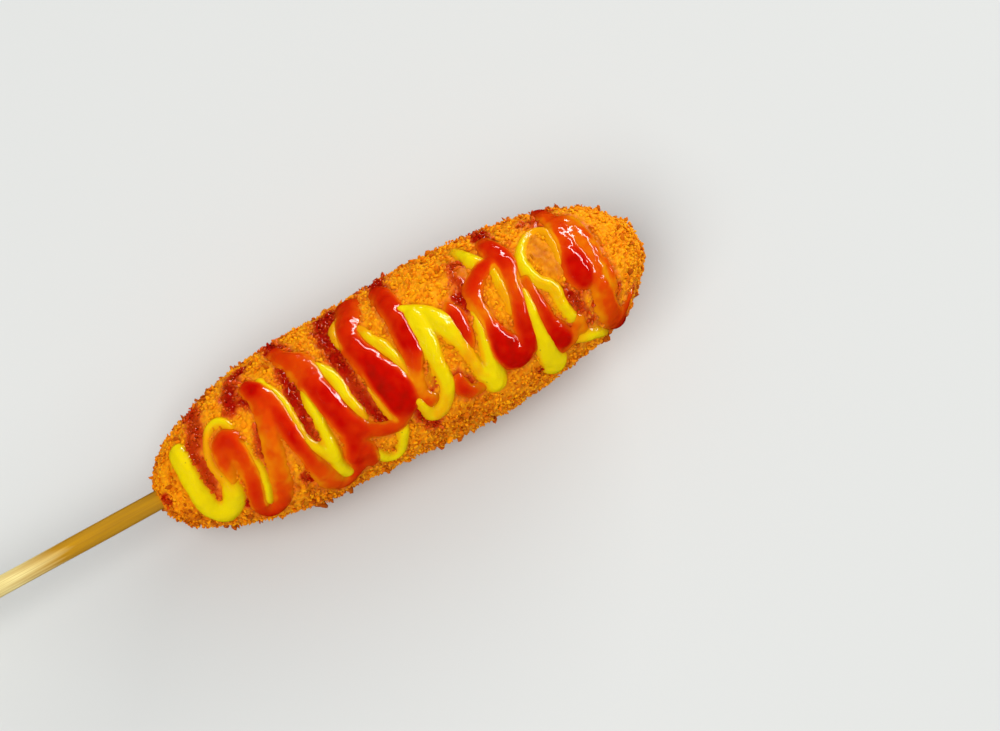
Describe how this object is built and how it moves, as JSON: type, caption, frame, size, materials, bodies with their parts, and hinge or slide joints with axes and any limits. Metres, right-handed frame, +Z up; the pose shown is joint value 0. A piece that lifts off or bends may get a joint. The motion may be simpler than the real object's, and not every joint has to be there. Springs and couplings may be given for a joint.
{
  "type": "corn dog",
  "caption": "Crumbed, deep-fried corn dog on a round bamboo stick, lying on its side, with zigzag drizzles of ketchup and mustard across its upper side.",
  "frame": {"origin": "centre of the small flat spot that the body rests on", "axes": "+X along the body from the stick to the rounded end, +Z up through the drizzled side, +Y across the body"},
  "size_m": [0.2605, 0.0512, 0.052],
  "materials": {
    "crumb_crust": "deep-fried breadcrumb crust, golden orange with darker toasted grains, matt with an oily sheen, stained dark red where ketchup has soaked in",
    "ketchup": "glossy wet tomato ketchup, deep red where thick and orange-red where thin",
    "mustard": "smooth bright yellow mustard with a soft gloss and a few dark specks",
    "bamboo": "round bamboo, golden tan with lengthwise grain, plain and slightly greasy"
  },
  "bodies": {
    "root": {"corn_dog": "crumb_crust", "stick": "bamboo"}
  },
  "joints": []
}
